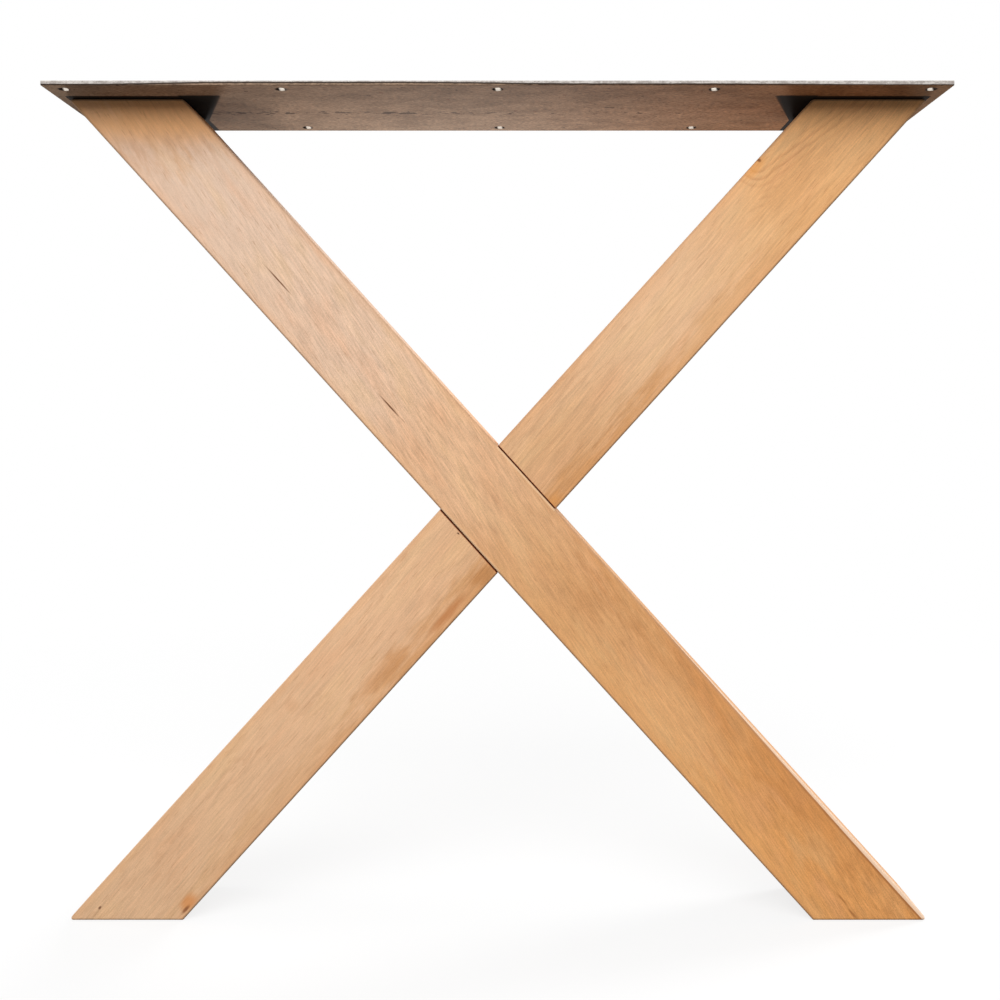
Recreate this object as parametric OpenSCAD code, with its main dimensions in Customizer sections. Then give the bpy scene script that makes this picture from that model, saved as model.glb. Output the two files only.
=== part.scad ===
// X shaped table leg: two square timbers crossed in a half lap, under a flat steel plate.
// Origin on the floor, midway between the feet. +X along the plate, +Z up, front face towards -Y.

/* [Overall] */
// Height from the floor to the top of the plate
leg_height = 720; // [600:5:900]

/* [Plate] */
// Length of the plate, along the leg
plate_length = 765; // [700:5:900]
// Width of the plate, front to back
plate_width = 150; // [120:5:220]
// Thickness of the plate
plate_thickness = 4; // [3.5:0.5:8]
// How far the plate runs past the beams at each end
plate_overhang = 8; // [3:1:25]
// Radius of the plate's long edges, as the bar comes from the rolls
rolled_radius = 0.8; // [0.2:0.1:1.5]

/* [Tabletop holes] */
// Number of holes in each of the two rows
hole_count = 5; // [3:1:7]
// Diameter of each hole
hole_diameter = 9; // [5:0.5:12]
// Hole centre to the end of the plate
hole_end_inset = 15; // [10:1:30]
// Hole centre to the long edge of the plate
hole_edge_inset = 12; // [9:1:20]

/* [Beams] */
// Width of a beam, across the face that shows the X
beam_width = 74; // [60:1:90]
// Depth of a beam, front to back
beam_depth = 74; // [60:1:95]
// Radius that the long edges are eased to
arris_radius = 2; // [0.5:0.5:6]
// Radius that the edges of the level cuts are eased to
cut_radius = 2.5; // [0.5:0.5:5]
// Radius of the wide-angled corner of each beam under the plate
top_knee_radius = 10; // [2:1:14]
// Radius of the wide-angled corner of each beam at the floor
foot_knee_radius = 4; // [2:1:14]

/* [Half lap] */
// How far the plane of the lap lies behind the middle of the beams
lap_offset = 0; // [-8:1:8]
// Gap between a shoulder of the lap and the side of the other beam
lap_shoulder_gap = 0.6; // [0.1:0.1:1]

/* [Plate screws] */
// Length of a screw, with its head
screw_length = 50; // [35:1:55]
// Diameter over the thread
screw_diameter = 6; // [5:0.5:7]
// Diameter of the plain shank
shank_diameter = 4.3; // [3.5:0.1:4.8]
// Length of the plain shank, head included
shank_length = 18; // [10:1:22]
// Diameter of the core between the threads
core_diameter = 3.8; // [3:0.1:4.4]
// Distance from one turn of the thread to the next
thread_pitch = 3; // [2:0.5:4]
// Length of the pointed tip
tip_length = 6; // [3:1:9]
// Diameter of the countersunk head
head_diameter = 12; // [10:0.5:14]
// Height of the straight rim of the head
head_rim = 0.3; // [0.1:0.1:0.6]
// How far the head lies below the top of the plate
head_sink = 0.1; // [0:0.1:0.3]
// Width of the six-lobed socket over its points
socket_width = 5.6; // [4:0.1:6.2]
// Depth of the socket
socket_depth = 2.4; // [1.5:0.1:2.8]
// Room around the shank where it passes through the plate
shank_clearance = 1.15; // [0.3:0.05:1.3]
// Room left below the tip at the bottom of its hole
tip_clearance = 1; // [0.5:0.5:4]
// First screws to the inner top edge of the beam, along the plate
screw_inner_inset = 16; // [12:1:22]
// Distance between the two columns of screws, along the plate
screw_pitch_x = 32; // [24:1:34]
// Screws to the front and back faces of the beam
screw_face_inset = 15; // [12:1:20]

/* [Hidden] */

$fn = 64;
eps = 0.01;

// How far an easing outline stands clear of the flat sides that it runs into
runout = 0.02;

// Height of the timber X, from its soles to the underside of the plate
beam_height = leg_height - plate_thickness;
mid_height = beam_height / 2;

// Span of the X over the outer top corners of its beams
beam_span = plate_length - 2 * plate_overhang;

// Lean of each beam from upright. A strip of beam_width leaned by this angle and
// cut level at both ends spans beam_span: span * cos(lean) - height * sin(lean) = width.
span_diagonal = sqrt(beam_span ^ 2 + beam_height ^ 2);
lean = acos(beam_width / span_diagonal) - atan(beam_height / beam_span);

// Length of a level cut across a leaning beam, and of the stick that a beam is sawn from
cut_length = beam_width / cos(lean);
stick_length = beam_height / cos(lean) + 2 * beam_width * tan(lean);

left = -1;
right = 1;

// Screw places under the plate: inner column first, front row first
inner_screw_x = beam_span / 2 - cut_length + screw_inner_inset;
screw_columns = [inner_screw_x, inner_screw_x + screw_pitch_x];
screw_row_y = beam_depth / 2 - screw_face_inset;
screw_rows = [-screw_row_y, screw_row_y];
screw_places = [for (x = screw_columns) for (y = screw_rows) [x, y]];

// Turns of thread between the shank and the tip
thread_length = screw_length - shank_length - tip_length;
turns = floor(thread_length / thread_pitch);

wood_colour = [0.86, 0.69, 0.5];
steel_colour = [0.5, 0.45, 0.4];
zinc_colour = [0.78, 0.78, 0.75];

// Rectangle about the origin, with its corners eased by a true radius
module eased_rectangle(width, height, radius) {
    square([width - 2 * radius, height], center = true);
    square([width, height - 2 * radius], center = true);
    for (x = [-1, 1]) {
        for (y = [-1, 1]) {
            translate([x * (width / 2 - radius), y * (height / 2 - radius)]) circle(r = radius);
        }
    }
}

// Straight stick through the middle of the X, leaning towards one side at its top
module leaning_stick(side) {
    translate([0, 0, mid_height])
        rotate([0, side * lean, 0])
            linear_extrude(height = stick_length, center = true)
                eased_rectangle(beam_width, beam_depth, arris_radius);
}

// Room between the floor and the plate: cuts a beam level, with the front and back edges eased
module level_cuts() {
    translate([0, 0, mid_height])
        rotate([90, 0, 90])
            linear_extrude(height = plate_length, center = true)
                eased_rectangle(beam_depth + 2 * runout, beam_height, cut_radius);
}

// Radius of one corner of a beam, at its top (end = 1) or foot and to its left or right. A corner is
// wide-angled where the beam leans away from it, and sharp where the beam leans over it.
function corner_radius(side, end, across) =
    across * side * end > 0 ? cut_radius : end > 0 ? top_knee_radius : foot_knee_radius;

// Waste outside one eased corner, seen from the front with the centre of the easing at the origin.
// The corner lies between a level cut above (end = 1) or below it and a side to its left or right.
module corner_waste(side, end, across) {
    radius = corner_radius(side, end, across);
    level_way = [0, end];
    side_way = across * [cos(lean), -side * sin(lean)];
    to_corner = (level_way + side_way) / (1 + level_way * side_way);
    out = 2 * radius;
    difference() {
        polygon([[0, 0], out * level_way, out * to_corner, out * side_way]);
        circle(r = radius + runout);
    }
}

// Waste at the four corners of a beam that leans to the given side, right through its depth
module eased_corners(side) {
    for (end = [-1, 1]) {
        for (across = [left, right]) {
            radius = corner_radius(side, end, across);
            reach = (beam_width / 2 - radius) / cos(lean);
            up = end * (mid_height - radius);
            translate([side * up * tan(lean) + across * reach, 0, mid_height + up])
                rotate([90, 0, 0])
                    linear_extrude(height = 2 * beam_depth, center = true)
                        corner_waste(side, end, across);
        }
    }
}

// Housing for the beam that leans to the given side, from one depth to another
module lap_housing(side, from_y, to_y) {
    room = beam_width + 2 * lap_shoulder_gap;
    translate([0, 0, mid_height])
        rotate([0, side * lean, 0])
            translate([-room / 2, from_y, -stick_length / 2])
                cube([room, to_y - from_y, stick_length]);
}

// Holes in the top of a beam that its four screws are driven into
module screw_holes(side) {
    depth = screw_length + head_sink + tip_clearance - plate_thickness;
    for (place = screw_places) {
        translate([side * place[0], place[1], beam_height - depth])
            cylinder(d = screw_diameter, h = depth + eps);
    }
}

// Beam that rises to the left: whole on its front face, housed from the back
module left_beam() {
    color(wood_colour)
        difference() {
            intersection() {
                leaning_stick(left);
                level_cuts();
            }
            eased_corners(left);
            lap_housing(right, lap_offset, beam_depth);
            screw_holes(left);
        }
}

// Beam that rises to the right: housed from the front, whole on its back face
module right_beam() {
    color(wood_colour)
        difference() {
            intersection() {
                leaning_stick(right);
                level_cuts();
            }
            eased_corners(right);
            lap_housing(left, -beam_depth, lap_offset);
            screw_holes(right);
        }
}

// Countersunk hole for one plate screw, cut from the top face down
module countersink() {
    shank_hole = shank_diameter + 2 * shank_clearance;
    cone_height = (head_diameter - shank_hole) / 2;
    translate([0, 0, -eps]) cylinder(d = shank_hole, h = plate_thickness + 2 * eps);
    translate([0, 0, plate_thickness - head_sink - head_rim - cone_height])
        cylinder(d1 = shank_hole, d2 = head_diameter, h = cone_height);
    translate([0, 0, plate_thickness - head_sink - head_rim])
        cylinder(d = head_diameter, h = head_sink + head_rim + eps);
}

// Flat bar of the plate, rolled with rounded long edges and sawn square at its ends
module rolled_bar() {
    translate([0, 0, plate_thickness / 2])
        rotate([90, 0, 90])
            linear_extrude(height = plate_length, center = true)
                eased_rectangle(plate_width, plate_thickness, rolled_radius);
}

// Flat steel plate, with two rows of tabletop holes and four countersinks over each beam
module mounting_plate() {
    reach_x = plate_length / 2 - hole_end_inset;
    reach_y = plate_width / 2 - hole_edge_inset;
    color(steel_colour)
        translate([0, 0, beam_height])
            difference() {
                rolled_bar();
                for (i = [0 : hole_count - 1]) {
                    for (y = [-reach_y, reach_y]) {
                        translate([-reach_x + i * 2 * reach_x / (hole_count - 1), y, -eps])
                            cylinder(d = hole_diameter, h = plate_thickness + 2 * eps);
                    }
                }
                for (side = [left, right]) {
                    for (place = screw_places) {
                        translate([side * place[0], place[1], 0]) countersink();
                    }
                }
            }
}

// Half outline of a screw, from the middle of its head down to the point
function screw_outline() =
    let (head_r = head_diameter / 2)
    let (shank_r = shank_diameter / 2)
    let (core_r = core_diameter / 2)
    let (crest_r = screw_diameter / 2)
    let (thread_top = -shank_length)
    concat(
        [[0, 0], [head_r, 0], [head_r, -head_rim]],
        [[shank_r, -head_rim - head_r + shank_r], [shank_r, thread_top]],
        [for (i = [0 : turns - 1])
            for (point = [[core_r, 0.1], [crest_r, 0.45], [crest_r, 0.55], [core_r, 0.9]])
                [point[0], thread_top - (i + point[1]) * thread_pitch]],
        [[core_r, -screw_length + tip_length], [0, -screw_length]]
    );

// Six-lobed socket of the driver
module socket() {
    notch_r = socket_width * 0.17;
    difference() {
        circle(d = socket_width);
        for (i = [0 : 5]) {
            rotate(i * 60) translate([socket_width * 0.55, 0]) circle(r = notch_r);
        }
    }
}

// One countersunk wood screw, its head down in the plate and its thread in the beam
module plate_screw(side, number) {
    place = screw_places[number - 1];
    color(zinc_colour)
        translate([side * place[0], place[1], leg_height - head_sink])
            difference() {
                rotate_extrude() polygon(screw_outline());
                translate([0, 0, -socket_depth])
                    linear_extrude(height = socket_depth + eps) socket();
            }
}

mounting_plate();
left_beam();
right_beam();
plate_screw(left, 1);  // left_screw_1
plate_screw(left, 2);  // left_screw_2
plate_screw(left, 3);  // left_screw_3
plate_screw(left, 4);  // left_screw_4
plate_screw(right, 1);  // right_screw_1
plate_screw(right, 2);  // right_screw_2
plate_screw(right, 3);  // right_screw_3
plate_screw(right, 4);  // right_screw_4
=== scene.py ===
import math

import bpy
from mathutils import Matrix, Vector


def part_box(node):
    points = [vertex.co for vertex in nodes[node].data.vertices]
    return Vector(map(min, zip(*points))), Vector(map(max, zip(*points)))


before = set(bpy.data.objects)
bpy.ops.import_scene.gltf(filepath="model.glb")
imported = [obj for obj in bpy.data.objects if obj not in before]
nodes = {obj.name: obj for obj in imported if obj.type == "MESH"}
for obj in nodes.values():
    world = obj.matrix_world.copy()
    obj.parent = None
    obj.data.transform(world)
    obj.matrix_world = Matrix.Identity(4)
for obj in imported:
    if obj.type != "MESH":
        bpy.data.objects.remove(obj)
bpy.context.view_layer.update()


# Timber beams
# Two square hardwood sticks, crossed in a half lap and cut level under the plate and at the floor.
# They are planed, sanded and thinly oiled, with the arrises and the level cuts eased by hand.

beam_width = 0.074
half_beam = beam_width / 2
beam_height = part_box("left_beam")[1].z
mid_height = beam_height / 2
plate_overhang = 0.008
beam_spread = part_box("mounting_plate")[1].x - plate_overhang
diagonal = math.hypot(2 * beam_spread, beam_height)
beam_lean = math.acos(beam_width / diagonal) - math.atan2(beam_height, 2 * beam_spread)
half_length = mid_height / math.cos(beam_lean)


def tone(red, green, blue):
    """Turns a tone as it looks, 0 to 255, into the colour that a finish is mixed from."""
    shares = [value / 255 for value in (red, green, blue)]
    return tuple(s / 12.92 if s <= 0.04045 else ((s + 0.055) / 1.055) ** 2.4 for s in shares) + (1.0,)


def start_finish(name):
    """An empty finish with its shader, and the place of each point on the piece."""
    material = bpy.data.materials.new(name)
    material.use_nodes = True
    finish = material.node_tree
    shader = finish.nodes["Principled BSDF"]
    place = finish.nodes.new("ShaderNodeTexCoord").outputs["Object"]
    return material, finish, shader, place


def add_step(finish, kind, feeds, **settings):
    """Adds one step to a finish. A feed is a plain value or what an earlier step gives."""
    step = finish.nodes.new("ShaderNode" + kind)
    for name, value in settings.items():
        setattr(step, name, value)
    for name, feed in feeds.items():
        socket = step.inputs[name]
        if isinstance(feed, bpy.types.NodeSocket):
            finish.links.new(feed, socket)
        else:
            socket.default_value = feed
    return step


def reckon(finish, operation, *values, clamp=False):
    """One sum on numbers, such as ADD or MULTIPLY."""
    return add_step(finish, "Math", dict(enumerate(values)), operation=operation, use_clamp=clamp).outputs[0]


def fade(finish, value, start, end, low=0.0, high=1.0):
    """Runs smoothly from low to high as the value goes from start to end."""
    feeds = {"Value": value, "From Min": start, "From Max": end, "To Min": low, "To Max": high}
    return add_step(finish, "MapRange", feeds, interpolation_type="SMOOTHSTEP").outputs["Result"]


def lay_over(finish, share, under, over):
    """Lays one tone over another by a share from 0 to 1."""
    step = finish.nodes.new("ShaderNodeMix")
    step.data_type = "RGBA"
    for index, feed in ((0, share), (6, under), (7, over)):
        if isinstance(feed, bpy.types.NodeSocket):
            finish.links.new(feed, step.inputs[index])
        else:
            step.inputs[index].default_value = feed
    return step.outputs[2]


def lighten(finish, colour, amount):
    """Makes a tone lighter or darker by an amount around 1."""
    return add_step(finish, "VectorMath", {0: colour, "Scale": amount}, operation="SCALE").outputs[0]


def distance(finish, one_way, other_way):
    """The straight distance that two measures at right angles make together."""
    sides = add_step(finish, "CombineXYZ", {0: one_way, 1: other_way}).outputs[0]
    return add_step(finish, "VectorMath", {0: sides}, operation="LENGTH").outputs["Value"]


def stretch(finish, place, along):
    """Draws a figure out along the grain. The smaller the number, the longer it runs."""
    return add_step(finish, "VectorMath", {0: place, 1: (1, 1, along)}, operation="MULTIPLY").outputs[0]


def speckle(finish, place, size, detail=2.0, roughness=0.5):
    """Even random figure, 0 to 1, whose lumps are about the given size in the place's own units."""
    feeds = {"Vector": place, "Scale": 1 / size, "Detail": detail, "Roughness": roughness}
    return add_step(finish, "TexNoise", feeds).outputs["Fac"]


def tone_stops(finish, position, stops):
    """Runs through a few chosen tones as the position goes from 0 to 1."""
    step = add_step(finish, "ValToRGB", {"Fac": position})
    ramp = step.color_ramp
    ramp.interpolation = "EASE"
    while len(ramp.elements) < len(stops):
        ramp.elements.new(0.5)
    for element, (where, colour) in zip(ramp.elements, stops):
        element.position = where
        element.color = tone(*colour)
    return step.outputs["Color"]


peach_wood = (219, 176, 138)
amber_wood = (215, 151, 88)
brown_wood = (190, 130, 78)
split_wood = (104, 60, 30)
stain_depth = 0.015
front_face = -half_beam


def beam_way(wood, place, lean):
    """The place of a point measured from the middle of the crossing, upright as the stick itself is."""
    centre = (0, 0, mid_height)
    upright = add_step(wood, "VectorRotate", {"Vector": place, "Center": centre, "Angle": lean},
                       rotation_type="Y_AXIS").outputs[0]
    return add_step(wood, "VectorMath", {0: upright, 1: centre}, operation="SUBTRACT").outputs[0]


def stain(wood, in_beam, ragged, colour, mark):
    """Lays one oval with ragged edges over the front face, at its place across and along the stick.
    A mark is its two places, half its width and length, its share and its tone."""
    where_across, where_along, half_width, half_long, share, stain_tone = mark
    from_mark = add_step(wood, "VectorMath", {0: in_beam, 1: (where_across, front_face, where_along)},
                         operation="SUBTRACT").outputs[0]
    oval = add_step(wood, "VectorMath", {0: from_mark, 1: (1 / half_width, 1 / stain_depth, 1 / half_long)},
                    operation="MULTIPLY").outputs[0]
    reach = add_step(wood, "VectorMath", {0: oval}, operation="LENGTH").outputs["Value"]
    edge = reckon(wood, "ADD", reach, ragged)
    return lay_over(wood, fade(wood, edge, 1.0, 0.25, 0.0, share), colour, tone(*stain_tone))


def knot_rings(wood, across, along, wobble, colour, knot):
    """Rings that turn round a knot at one edge and run off up the stick, as dark curved lines."""
    knot_across, knot_along, ring_gap, reach = knot
    beside = reckon(wood, "SUBTRACT", across, knot_across)
    above = reckon(wood, "SUBTRACT", along, knot_along)
    drawn_off = reckon(wood, "MULTIPLY_ADD", reckon(wood, "MAXIMUM", above, 0.0), -0.21, beside)
    out = reckon(wood, "MAXIMUM", drawn_off, 0.0)
    below = reckon(wood, "MINIMUM", above, 0.0)
    from_knot = distance(wood, out, below)
    wandering = reckon(wood, "MULTIPLY_ADD", wobble, 0.004, from_knot)
    ring = reckon(wood, "FRACT", reckon(wood, "DIVIDE", wandering, ring_gap))
    dark_line = reckon(wood, "MULTIPLY", fade(wood, ring, 0.35, 0.80), fade(wood, ring, 1.0, 0.88))
    near = fade(wood, from_knot, reach, reach * 0.6)
    near = reckon(wood, "MULTIPLY", near, fade(wood, from_knot, 0.002, 0.006))
    near = reckon(wood, "MULTIPLY", near, fade(wood, above, 0.13, 0.06))
    share = reckon(wood, "MULTIPLY", dark_line, reckon(wood, "MULTIPLY", near, 0.26))
    return lay_over(wood, share, colour, tone(160, 96, 48))


def turn_grain(wood, place, slope):
    """Turns the grain by a slope, in the plane of the front face."""
    turned = add_step(wood, "VectorRotate", {"Vector": place, "Angle": slope}, rotation_type="Y_AXIS")
    return turned.outputs[0]


def oiled_wood(name, lean, slope, run, tones, strength, pith, ring_gap, ring_share, swell, whole_side,
               marks_and_painted_light):
    """Solid wood round one pith, so that rings, fibres and end grain meet truly at the corners."""
    material, wood, shader, place = start_finish(name)
    in_beam = beam_way(wood, place, lean)
    across, depth, along = add_step(wood, "SeparateXYZ", {0: in_beam}).outputs
    grain = turn_grain(wood, in_beam, slope)

    # Tones along the beam, from its top to its foot, with rosy and golden clouds in them
    down = reckon(wood, "MULTIPLY_ADD", along, -0.5 / half_length, 0.5)
    drift = speckle(wood, stretch(wood, in_beam, 0.35), 0.05)
    drifted = reckon(wood, "MULTIPLY_ADD", reckon(wood, "SUBTRACT", drift, 0.5), 0.12, down)
    colour = tone_stops(wood, drifted, tones)
    cloud = speckle(wood, stretch(wood, grain, 1.6 * run), 0.020, detail=2.0)
    colour = lay_over(wood, fade(wood, cloud, 0.50, 0.72, 0.0, 0.24), colour, tone(212, 154, 112))
    colour = lay_over(wood, fade(wood, cloud, 0.50, 0.28, 0.0, 0.24), colour, tone(228, 188, 136))
    figure = speckle(wood, stretch(wood, grain, 1.6 * run), 0.0050, detail=3.0)
    ragged = reckon(wood, "MULTIPLY_ADD", figure, 1.0, -0.5)
    for mark in marks_and_painted_light["broad"]:
        colour = stain(wood, in_beam, ragged, colour, mark)
    # Painted light: the side face along one arris is painted pale where light from above falls on it, more so
    # towards the foot
    for pale_side, pale_from, pale_to, _ in marks_and_painted_light["painted_lit_arris"]:
        out = reckon(wood, "MULTIPLY", across, pale_side)
        beside = fade(wood, out, half_beam - 0.0040, half_beam - 0.0005)
        inwards = fade(wood, reckon(wood, "MULTIPLY_ADD", ragged, 0.02, depth), 0.030, front_face, 0.0, 0.85)
        painted_lit_side = reckon(wood, "MULTIPLY", reckon(wood, "MULTIPLY", beside, inwards),
                         fade(wood, along, pale_from, pale_to))
        colour = lay_over(wood, painted_lit_side, colour, tone(238, 204, 172))

    # Painted light just under the plate: a golden tone that lifts and warms the plate's shadow on the top of
    # the beam
    up = add_step(wood, "SeparateXYZ", {0: place}).outputs[2]
    ragged_up = reckon(wood, "MULTIPLY_ADD", ragged, 0.02, up)
    painted_shadow_lift = fade(wood, ragged_up, beam_height - 0.046, beam_height - 0.022, 0.0, marks_and_painted_light["painted_lift_top"])
    colour = lay_over(wood, painted_shadow_lift, colour, tone(232, 170, 108))

    # Growth rings round the pith, which comes nearer to the face beside a knot
    ring_across, ring_depth, ring_along = add_step(wood, "SeparateXYZ", {0: grain}).outputs
    from_pith = reckon(wood, "SUBTRACT", ring_across, pith[0])
    swell_from, swell_to, shallow = swell
    pith_depth = fade(wood, ring_along, swell_from, swell_to, pith[1], shallow)
    behind = reckon(wood, "SUBTRACT", pith_depth, reckon(wood, "SUBTRACT", ring_depth, front_face))
    wobble = speckle(wood, stretch(wood, grain, 0.25), 0.010, detail=4.0)
    wandering = reckon(wood, "MULTIPLY_ADD", wobble, 0.010, distance(wood, from_pith, behind))
    ring = reckon(wood, "FRACT", reckon(wood, "DIVIDE", wandering, ring_gap))
    late_wood = reckon(wood, "MULTIPLY", fade(wood, ring, 0.35, 0.9), fade(wood, ring, 1.0, 0.92))
    patches = fade(wood, speckle(wood, stretch(wood, grain, 0.4), 0.020), 0.40, 0.65)
    late_share = reckon(wood, "MULTIPLY", late_wood, reckon(wood, "MULTIPLY_ADD", patches, ring_share, 0.03))
    colour = lay_over(wood, late_share, colour, tone(168, 108, 62))
    for knot in marks_and_painted_light["knots"]:
        colour = knot_rings(wood, across, along, wobble, colour, knot)

    # Wavy figure, flecks and fibres, stronger in one part of the stick than in another
    veered = turn_grain(wood, grain, slope)
    flecks = speckle(wood, stretch(wood, veered, 0.9 * run), 0.0026, detail=3.0, roughness=0.6)
    fibres = speckle(wood, stretch(wood, grain, 0.25 * run), 0.0012, detail=2.0, roughness=0.6)
    pits = speckle(wood, stretch(wood, grain, 0.7), 0.0009, detail=2.0, roughness=0.7)
    lift = 0.0
    for layer, amount in ((figure, 0.24), (flecks, 0.30), (fibres, 0.58), (pits, 0.56)):
        lift = reckon(wood, "MULTIPLY_ADD", reckon(wood, "SUBTRACT", layer, 0.5), amount, lift)
    strength_step = add_step(wood, "FloatCurve", {"Value": down})
    for point, (where, amount) in zip(strength_step.mapping.curves[0].points, (strength[0], strength[-1])):
        point.location = (where, amount)
    for where, amount in strength[1:-1]:
        strength_step.mapping.curves[0].points.new(where, amount)
    strength_step.mapping.use_clip = False
    strength_step.mapping.update()
    grown = strength_step.outputs[0]
    colour = lighten(wood, colour, reckon(wood, "MULTIPLY_ADD", lift, grown, 1.0))

    # Pores, short brown dashes that lie along the grain
    pores = speckle(wood, stretch(wood, grain, 0.5 * run), 0.0011, detail=1.0)
    pore_share = fade(wood, pores, 0.64, 0.78)
    colour = lay_over(wood, reckon(wood, "MULTIPLY", pore_share, 0.30), colour, tone(150, 94, 52))

    # Arrises, golden where the oil lay thicker, and a dull brown at the very edge, partly wear and partly
    # painted shade
    side = reckon(wood, "MINIMUM", reckon(wood, "ABSOLUTE", across), reckon(wood, "ABSOLUTE", depth))
    oil_share = fade(wood, side, half_beam - 0.0085, half_beam - 0.0018, 0.0, 0.16)
    colour = lay_over(wood, oil_share, colour, tone(222, 158, 98))
    worn_and_shaded_edge = fade(wood, side, half_beam - 0.0024, half_beam - 0.0008, 0.0, 0.50)
    colour = lay_over(wood, worn_and_shaded_edge, colour, tone(158, 124, 96))

    # Small marks of this one stick on its front face
    for mark in marks_and_painted_light["small"]:
        colour = stain(wood, in_beam, reckon(wood, "MULTIPLY", ragged, 0.5), colour, mark)

    # Along one arris of the stick that crosses in front, a painted pale strip of light from above that widens
    # towards its foot, with a painted shadow line just inside it
    for pale_side, pale_from, pale_to, pale_width in marks_and_painted_light["painted_lit_arris"]:
        out = reckon(wood, "MULTIPLY", across, pale_side)
        inner = fade(wood, along, pale_from, pale_to, -front_face, -front_face - pale_width)
        near_front = fade(wood, depth, front_face + 0.006, front_face + 0.004)
        from_inner = reckon(wood, "SUBTRACT", out, inner)
        grown_line = reckon(wood, "MULTIPLY", fade(wood, along, pale_from, pale_to, 0.0, 0.75), near_front)
        line = fade(wood, from_inner, -0.0026, -0.0006)
        line = reckon(wood, "MULTIPLY", line, fade(wood, from_inner, 0.0002, 0.0))
        colour = lay_over(wood, reckon(wood, "MULTIPLY", line, grown_line), colour, tone(150, 90, 42))
        # The pale strip itself is painted light
        pale = reckon(wood, "MULTIPLY", fade(wood, from_inner, 0.0, 0.0004), near_front)
        colour = lay_over(wood, reckon(wood, "MULTIPLY", pale, 0.85), colour, tone(240, 208, 180))

    # End grain, browner than the faces, with painted shade and a very dark painted contact shadow along the
    # top edge, where the beam meets the plate
    normal = add_step(wood, "NewGeometry", {}).outputs["Normal"]
    level = reckon(wood, "ABSOLUTE", add_step(wood, "SeparateXYZ", {0: normal}).outputs[2])
    colour = lay_over(wood, fade(wood, level, 0.85, 0.97, 0.0, 0.35), colour, tone(150, 98, 58))
    painted_gap_shade = fade(wood, up, beam_height - 0.0030, beam_height - 0.0018, 0.0, 0.55)
    colour = lay_over(wood, painted_gap_shade, colour, tone(112, 88, 70))
    painted_contact_shadow = fade(wood, up, beam_height - 0.0014, beam_height - 0.0006, 0.0, 0.96)
    colour = lay_over(wood, painted_contact_shadow, colour, tone(20, 13, 9))

    # Dark glue line of the half lap, with a painted highlight on the arris of the whole stick beside it
    own = reckon(wood, "ABSOLUTE", across)
    in_other = beam_way(wood, place, -lean)
    other = reckon(wood, "ABSOLUTE", add_step(wood, "SeparateXYZ", {0: in_other}).outputs[0])
    whole = fade(wood, reckon(wood, "MULTIPLY", depth, whole_side), -0.0005, 0.0005)
    lapped = reckon(wood, "MULTIPLY", fade(wood, other, half_beam + 0.0004, half_beam), whole)
    painted_arris_glint = reckon(wood, "MULTIPLY", fade(wood, own, half_beam - 0.0024, half_beam - 0.0016), lapped)
    colour = lay_over(wood, reckon(wood, "MULTIPLY", painted_arris_glint, 0.55), colour, tone(240, 202, 160))
    beside = reckon(wood, "MULTIPLY", fade(wood, own, half_beam - 0.0005, half_beam - 0.0002), lapped)
    notched = reckon(wood, "SUBTRACT", 1.0, whole)
    shoulder = reckon(wood, "MULTIPLY", fade(wood, other, half_beam + 0.0013, half_beam + 0.0010), notched)
    glue = reckon(wood, "ADD", beside, shoulder, clamp=True)
    colour = lay_over(wood, reckon(wood, "MULTIPLY", glue, 0.95), colour, tone(120, 50, 2))
    wood.links.new(colour, shader.inputs["Base Color"])

    # Thin matt oil over sanded fibres
    shader.inputs["Specular IOR Level"].default_value = 0.30
    roughness = reckon(wood, "MULTIPLY_ADD", fibres, 0.14, 0.62)
    wood.links.new(roughness, shader.inputs["Roughness"])
    height = reckon(wood, "MULTIPLY_ADD", pore_share, -0.8, fibres)
    sanded = add_step(wood, "Bump", {"Strength": 0.12, "Distance": 0.0002, "Height": height})
    wood.links.new(sanded.outputs["Normal"], shader.inputs["Normal"])
    return material


left_wood = oiled_wood(
    "left_beam_wood", lean=beam_lean, slope=math.radians(-8), run=0.20,
    tones=[(0.10, (214, 184, 160)), (0.30, (217, 183, 155)), (0.43, peach_wood), (0.60, (207, 154, 103)),
           (0.95, amber_wood)],
    strength=[(0.0, 0.35), (0.1, 0.6), (0.22, 0.95), (0.35, 1.15), (0.6, 1.0), (0.75, 0.9), (1.0, 1.4)],
    pith=(0.065, 0.05), ring_gap=0.0046, ring_share=0.06, swell=(0.5, 0.6, 0.05), whole_side=-1,
    marks_and_painted_light={
        "broad": [(0.026, 0.46, 0.085, 0.085, 0.52, brown_wood),
                  (0.030, -0.32, 0.030, 0.32, 0.40, (192, 122, 60)),
                  (-0.030, -0.30, 0.024, 0.34, 0.25, (230, 174, 112)),
                  (-0.008, -0.235, 0.036, 0.090, 0.30, (232, 184, 132)),
                  (0.004, -0.115, 0.014, 0.035, 0.30, brown_wood)],
        "knots": [],
        "small": [(-0.0077, 0.2756, 0.0010, 0.0215, 1.0, split_wood),
                  (-0.0096, 0.1300, 0.0011, 0.0180, 1.0, split_wood),
                  (-0.0093, 0.1130, 0.0008, 0.0050, 0.40, split_wood),
                  (-0.0060, -0.4520, 0.0014, 0.0100, 0.55, (150, 92, 44)),
                  (-0.0078, -0.4680, 0.0015, 0.0090, 0.60, (140, 82, 38))],
        "painted_lit_arris": [(1, -0.10, -0.50, 0.0032)],
        "painted_lift_top": 0.70})
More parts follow.
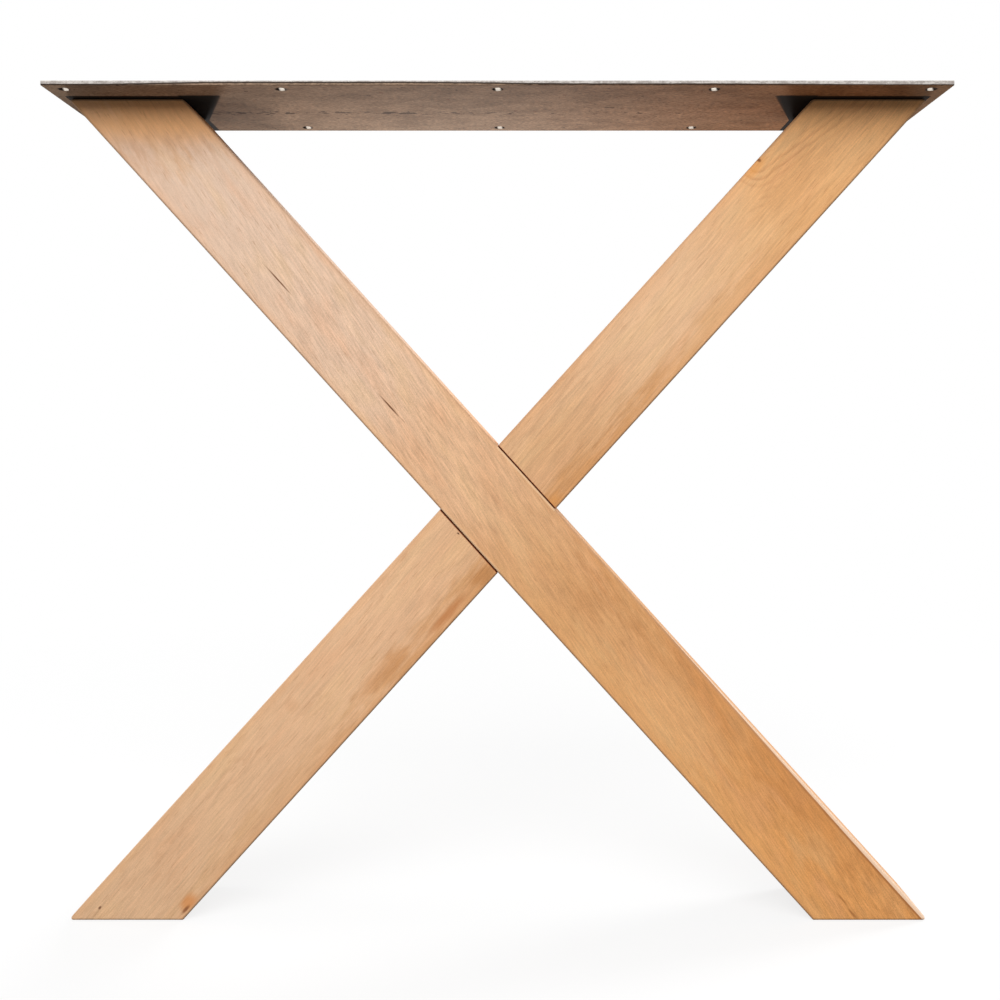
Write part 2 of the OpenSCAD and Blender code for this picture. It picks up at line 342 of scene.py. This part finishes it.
right_wood = oiled_wood(
    "right_beam_wood", lean=-beam_lean, slope=math.radians(2), run=0.14,
    tones=[(0.08, (220, 168, 114)), (0.26, (220, 178, 138)), (0.42, (209, 162, 118)), (0.64, (221, 177, 138)),
           (0.97, (216, 175, 137))],
    strength=[(0.0, 0.9), (0.25, 0.7), (0.4, 0.95), (0.6, 0.8), (0.75, 0.65), (1.0, 0.8)],
    pith=(-0.040, 0.045), ring_gap=0.0027, ring_share=0.12, swell=(0.33, 0.46, 0.010), whole_side=1,
    marks_and_painted_light={
        "broad": [(-0.032, -0.02, 0.026, 0.42, 0.25, (230, 190, 150)),
                  (0.034, -0.02, 0.026, 0.28, 0.60, (194, 134, 76)),
                  (0.034, 0.27, 0.024, 0.20, 0.40, (206, 146, 84)),
                  (-0.002, 0.385, 0.036, 0.060, 0.35, (200, 144, 92)),
                  (0.034, -0.30, 0.026, 0.22, 0.30, (198, 144, 92)),
                  (0.0210, -0.1780, 0.0130, 0.0420, 0.50, (194, 134, 80)),
                  (0.0290, -0.0520, 0.0150, 0.0170, 0.60, (176, 118, 64)),
                  (0.0320, 0.0370, 0.0100, 0.0150, 0.60, (204, 138, 70))],
        "knots": [(-0.0370, 0.3760, 0.0064, 0.028)],
        "small": [(0.0290, -0.0980, 0.0060, 0.0320, 0.60, (182, 112, 58)),
                  (-0.0182, -0.2475, 0.0075, 0.0100, 0.25, (190, 134, 90)),
                  (-0.0340, 0.3700, 0.0070, 0.0180, 0.45, (226, 150, 66)),
                  (-0.0362, 0.3778, 0.0034, 0.0022, 0.85, (112, 60, 16)),
                  (0.0305, -0.4341, 0.0080, 0.0130, 0.70, (206, 130, 64)),
                  (0.0325, -0.4405, 0.0022, 0.0070, 0.80, (118, 66, 32)),
                  (-0.0239, -0.4895, 0.0014, 0.0024, 0.85, (104, 60, 34)),
                  (-0.0114, -0.0388, 0.0018, 0.0011, 0.90, (66, 34, 14))],
        "painted_lit_arris": [],
        "painted_lift_top": 0.35})
nodes["left_beam"].material_slots[0].material = left_wood
nodes["right_beam"].material_slots[0].material = right_wood


# Mounting plate
# A bar of hot-rolled flat steel, sawn to length and drilled, with its mill scale left as it came.
# It lies on the level tops of both beams and is held by eight countersunk screws from above.

hole_pitch = 0.18375
hole_row = 0.063
hole_radius = 0.0045
beam_top_width = beam_width / math.cos(beam_lean)


def mill_scale(name):
    """Blue-brown rolling scale with specks and streaks, bright where it was sawn or drilled."""
    material, steel, shader, place = start_finish(name)
    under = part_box("mounting_plate")[0].z
    along, back, up = add_step(steel, "SeparateXYZ", {0: place}).outputs
    from_under = reckon(steel, "SUBTRACT", up, under)
    out = reckon(steel, "ABSOLUTE", back)
    sideways = reckon(steel, "ABSOLUTE", along)
    on_underside = fade(steel, from_under, 0.0012, 0.0004)
    rolled = add_step(steel, "VectorMath", {0: place, 1: (0.5, 1, 1)}, operation="MULTIPLY").outputs[0]
    cloud = speckle(steel, rolled, 0.016, detail=5.0, roughness=0.6)
    grit = speckle(steel, rolled, 0.0020, detail=3.0, roughness=0.75)
    grey_scale = lay_over(steel, fade(steel, cloud, 0.3, 0.7), tone(143, 119, 99), tone(172, 145, 122))
    brown_scale = lay_over(steel, fade(steel, cloud, 0.3, 0.7), tone(138, 98, 66), tone(168, 124, 90))
    colour = lay_over(steel, fade(steel, along, -0.05, 0.32), grey_scale, brown_scale)
    gritty = reckon(steel, "MULTIPLY_ADD", reckon(steel, "SUBTRACT", grit, 0.5), 2.2, 1.0)
    colour = lighten(steel, colour, gritty)

    # Paler towards the ends, with painted shade along the front edge and beside the left beam
    colour = lay_over(steel, fade(steel, sideways, 0.345, 0.380, 0.0, 0.30), colour, tone(196, 164, 134))
    painted_plate_shade = reckon(steel, "MULTIPLY", fade(steel, along, -0.185, -0.235), fade(steel, back, -0.065, -0.020))
    painted_plate_shade = reckon(steel, "MAXIMUM", painted_plate_shade, fade(steel, back, 0.020, -0.060, 0.0, 0.45))
    colour = lay_over(steel, reckon(steel, "MULTIPLY", painted_plate_shade, 0.45), colour, tone(62, 46, 37))

    # Specks where scale has come away, thickest along one streak, and a little rust
    streak = fade(steel, reckon(steel, "ABSOLUTE", reckon(steel, "SUBTRACT", back, 0.011)), 0.008, 0.002)
    streak = reckon(steel, "MULTIPLY", streak, fade(steel, along, 0.05, -0.10, 0.3, 1.0))
    specks = speckle(steel, rolled, 0.0042, detail=3.0)
    limit = reckon(steel, "MULTIPLY_ADD", streak, -0.17, 0.68)
    speck_share = fade(steel, reckon(steel, "SUBTRACT", specks, limit), 0.0, 0.05)
    colour = lay_over(steel, reckon(steel, "MULTIPLY", speck_share, 0.75), colour, tone(50, 36, 28))
    rust = fade(steel, speckle(steel, place, 0.0060, detail=1.0), 0.70, 0.78, 0.0, 0.45)
    colour = lay_over(steel, rust, colour, tone(112, 66, 46))

    # Painted contact shadow, near black, on the steel just in front of and behind each beam
    mid_beam = beam_spread - beam_top_width / 2
    beside_beam = reckon(steel, "ABSOLUTE", reckon(steel, "SUBTRACT", sideways, mid_beam))
    aside = reckon(steel, "MAXIMUM", reckon(steel, "SUBTRACT", beside_beam, beam_top_width / 2), 0.0)
    ahead = reckon(steel, "MAXIMUM", reckon(steel, "SUBTRACT", out, half_beam), 0.0)
    from_beam = distance(steel, reckon(steel, "MULTIPLY", aside, 12.0), ahead)
    spread = reckon(steel, "MULTIPLY_ADD", grit, 0.0020, from_beam)
    painted_plate_shadow = reckon(steel, "MULTIPLY", fade(steel, spread, 0.0080, 0.0062), on_underside)
    colour = lay_over(steel, reckon(steel, "MULTIPLY", painted_plate_shadow, 0.96), colour, tone(14, 9, 6))

    # Painted shadow of each beam on the steel on its inner side, widest at its front corner and narrowing
    # towards the back
    inward = reckon(steel, "SUBTRACT", beam_spread - beam_top_width, sideways)
    run_out = add_step(steel, "MapRange", {"Value": back, "From Min": -0.042, "From Max": 0.036,
                                           "To Min": 0.035, "To Max": 0.004}).outputs["Result"]
    reached = reckon(steel, "DIVIDE", inward, run_out)
    painted_wedge_shadow = fade(steel, reached, 1.02, 0.94)
    painted_wedge_shadow = reckon(steel, "MULTIPLY", painted_wedge_shadow, fade(steel, reached, 1.0, 0.85, 0.80, 0.98))
    painted_wedge_shadow = reckon(steel, "MULTIPLY", painted_wedge_shadow, fade(steel, inward, -0.003, -0.001))
    painted_wedge_shadow = reckon(steel, "MULTIPLY", painted_wedge_shadow, fade(steel, back, -0.047, -0.043))
    painted_wedge_shadow = reckon(steel, "MULTIPLY", painted_wedge_shadow, on_underside)
    colour = lay_over(steel, painted_wedge_shadow, colour, tone(12, 8, 6))

    # Sawn ends and the upper part of the long edges bright, over a dark line where the scale begins
    normal = add_step(steel, "NewGeometry", {}).outputs["Normal"]
    facing = reckon(steel, "ABSOLUTE", add_step(steel, "SeparateXYZ", {0: normal}).outputs[2])
    upright = fade(steel, facing, 0.85, 0.60)
    wear = reckon(steel, "MULTIPLY_ADD", speckle(steel, rolled, 0.004), 0.0006, -0.0003)
    scale_top = fade(steel, along, -0.34, -0.23, 0.0006, 0.0023)
    scale_top = reckon(steel, "MULTIPLY", scale_top, fade(steel, along, -0.07, 0.08, 1.0, 0.43))
    scale_top = reckon(steel, "MULTIPLY", scale_top, fade(steel, along, 0.14, 0.36, 1.0, 0.20))
    above = reckon(steel, "SUBTRACT", from_under, reckon(steel, "ADD", scale_top, wear))
    bright_edge = reckon(steel, "MULTIPLY", upright, fade(steel, above, 0.0002, 0.0006))
    sawn = lay_over(steel, fade(steel, grit, 0.40, 0.60), tone(160, 152, 146), tone(200, 194, 188))
    colour = lay_over(steel, bright_edge, colour, sawn)
    dark_line = fade(steel, above, -0.0010, -0.0005)
    dark_line = reckon(steel, "MULTIPLY", dark_line, fade(steel, above, 0.0008, 0.0004))
    dark_line = reckon(steel, "MULTIPLY", dark_line, upright)
    colour = lay_over(steel, reckon(steel, "MULTIPLY", dark_line, 0.9), colour, tone(44, 34, 30))

    # Drilled holes, bright where the drill cut clean, with painted shade on both sides of each bore
    beside = reckon(steel, "WRAP", along, hole_pitch / 2, -hole_pitch / 2)
    behind = reckon(steel, "SUBTRACT", out, hole_row)
    from_hole = distance(steel, beside, behind)
    bore = fade(steel, from_hole, hole_radius + 0.00030, hole_radius + 0.00005)
    bore_side = reckon(steel, "MULTIPLY_ADD", reckon(steel, "SUBTRACT", from_under, 0.002), 0.35, beside)
    painted_bore_shade = fade(steel, reckon(steel, "ABSOLUTE", bore_side), 0.0013, 0.0030)
    bore_tone = lay_over(steel, painted_bore_shade, tone(232, 222, 210), tone(40, 29, 23))
    colour = lay_over(steel, bore, colour, bore_tone)
    burr = fade(steel, from_hole, hole_radius + 0.0015, hole_radius + 0.0003)
    burr = reckon(steel, "MULTIPLY", burr, fade(steel, bore, 1.0, 0.0, 0.0, 0.5))
    colour = lay_over(steel, burr, colour, tone(60, 46, 38))
    steel.links.new(colour, shader.inputs["Base Color"])
    shader.inputs["Specular IOR Level"].default_value = 0.08
    roughness = reckon(steel, "MULTIPLY_ADD", grit, 0.20, 0.66)
    steel.links.new(roughness, shader.inputs["Roughness"])
    height = reckon(steel, "MULTIPLY_ADD", speck_share, -0.7, grit)
    rough_skin = add_step(steel, "Bump", {"Strength": 0.3, "Distance": 0.0002, "Height": height})
    steel.links.new(rough_skin.outputs["Normal"], shader.inputs["Normal"])
    return material


nodes["mounting_plate"].material_slots[0].material = mill_scale("plate_mill_scale")


# Plate screws
# Eight countersunk wood screws of zinc-plated steel with six-lobed sockets.
# They are driven down through the plate into the end grain of the beams, four to a beam.

def bright_zinc(name):
    """Thin bright plating with a faint bluish cloud and fine marks from the driver."""
    material, zinc, shader, place = start_finish(name)
    cloud = speckle(zinc, place, 0.004, detail=3.0)
    colour = lay_over(zinc, fade(zinc, cloud, 0.3, 0.7), tone(196, 198, 196), tone(214, 214, 206))
    zinc.links.new(colour, shader.inputs["Base Color"])
    shader.inputs["Metallic"].default_value = 1.0
    roughness = reckon(zinc, "MULTIPLY_ADD", speckle(zinc, place, 0.0008), 0.2, 0.2)
    zinc.links.new(roughness, shader.inputs["Roughness"])
    return material


screw_zinc = bright_zinc("screw_bright_zinc")
for side in ("left", "right"):
    for number in range(1, 5):
        nodes[f"{side}_screw_{number}"].material_slots[0].material = screw_zinc


# White studio
# A white floor that keeps the leg's soft shadow, white all round, and four plain soft lamps.
# The main lamp stands high in front, two small ones light the sides from behind, and a low one
# behind the leg lights the underside of the plate.

floor_size = 40.0
floor_mesh = bpy.data.meshes.new("studio_floor")
half_floor = floor_size / 2
floor_mesh.from_pydata(
    [(-half_floor, -half_floor, 0), (half_floor, -half_floor, 0),
     (half_floor, half_floor, 0), (-half_floor, half_floor, 0)], [], [(0, 1, 2, 3)])
floor = bpy.data.objects.new("studio_floor", floor_mesh)
bpy.context.scene.collection.objects.link(floor)


def seen_straight(tree):
    """1 for what the camera sees, or what gloss and glass show, and 0 for the light that falls."""
    path = tree.nodes.new("ShaderNodeLightPath")
    looks = reckon(tree, "MAXIMUM", path.outputs["Is Camera Ray"], path.outputs["Is Glossy Ray"])
    return reckon(tree, "MAXIMUM", looks, path.outputs["Is Transmission Ray"])


floor_material = bpy.data.materials.new("studio_floor_white")
floor_material.use_nodes = True
paint = floor_material.node_tree
paint.nodes.clear()
looked_at = seen_straight(paint)
pale = lay_over(paint, looked_at, (0.13, 0.13, 0.13, 1), (0.75, 0.75, 0.75, 1))
matt_white = add_step(paint, "BsdfDiffuse", {"Color": pale})
plain_white = add_step(paint, "Emission", {"Color": (1, 1, 1, 1), "Strength": 1.0})
floor_place = paint.nodes.new("ShaderNodeTexCoord").outputs["Object"]
from_leg = add_step(paint, "VectorMath", {0: floor_place}, operation="LENGTH").outputs["Value"]
share = reckon(paint, "MULTIPLY", looked_at, fade(paint, from_leg, 0.5, 1.6, 0.8, 1.0))
floor_mix = add_step(paint, "MixShader", {0: share, 1: matt_white.outputs[0], 2: plain_white.outputs[0]})
add_step(paint, "OutputMaterial", {"Surface": floor_mix.outputs[0]})
floor_mesh.materials.append(floor_material)

world = bpy.data.worlds.new("studio_white")
world.use_nodes = True
air = world.node_tree
room_light = 0.38
strength = reckon(air, "MULTIPLY_ADD", seen_straight(air), 1.0 - room_light, room_light)
air.links.new(strength, air.nodes["Background"].inputs["Strength"])
air.nodes["Background"].inputs["Color"].default_value = (1, 1, 1, 1)
bpy.context.scene.world = world


def soft_lamp(name, place, target, width, height, power, spread=180):
    """One square lamp behind a diffuser, turned to what it lights and not seen itself."""
    light = bpy.data.lights.new(name, "AREA")
    light.shape = "RECTANGLE"
    light.size = width
    light.size_y = height
    light.energy = power
    light.spread = math.radians(spread)
    lamp = bpy.data.objects.new(name, light)
    lamp.location = place
    way = [there - here for here, there in zip(place, target)]
    reach = math.hypot(way[0], way[1])
    tilt = math.pi / 2 + math.atan2(way[2], reach)
    swing = math.atan2(way[1], way[0]) - math.pi / 2
    lamp.rotation_euler = (tilt, 0, swing)
    lamp.visible_camera = False
    bpy.context.scene.collection.objects.link(lamp)
    return lamp


soft_lamp("front_lamp", (-0.5, -3.2, 3.0), (0, 0, 0.4), 3.2, 3.8, 206)
soft_lamp("high_side_lamp", (2.2, 1.8, 2.6), (0, 0, 0.4), 1.2, 1.2, 80)
soft_lamp("left_side_lamp", (-2.6, 0.5, 1.5), (0, 0, 0.4), 1.2, 1.2, 22)
soft_lamp("low_back_lamp", (-0.06, 0.95, 0.06), (-0.05, 0.663, 1.06), 0.12, 0.06, 9.4, spread=100)


# Camera
# Level with the upper part of the leg, about a metre in front of it, as in the photograph.
# The shift is only what frames the leg, and the whole depth is sharp.

scene = bpy.context.scene
scene.view_settings.view_transform = "Standard"
eye = bpy.data.cameras.new("photo_camera")
eye.sensor_width = 36.0
eye.lens = 40.87
eye.shift_x = -0.014
eye.shift_y = -0.0793
camera = bpy.data.objects.new("photo_camera", eye)
camera.location = (0.0139, -1.025, 0.4352)
camera.rotation_euler = (math.pi / 2, 0, 0)
scene.collection.objects.link(camera)
scene.camera = camera
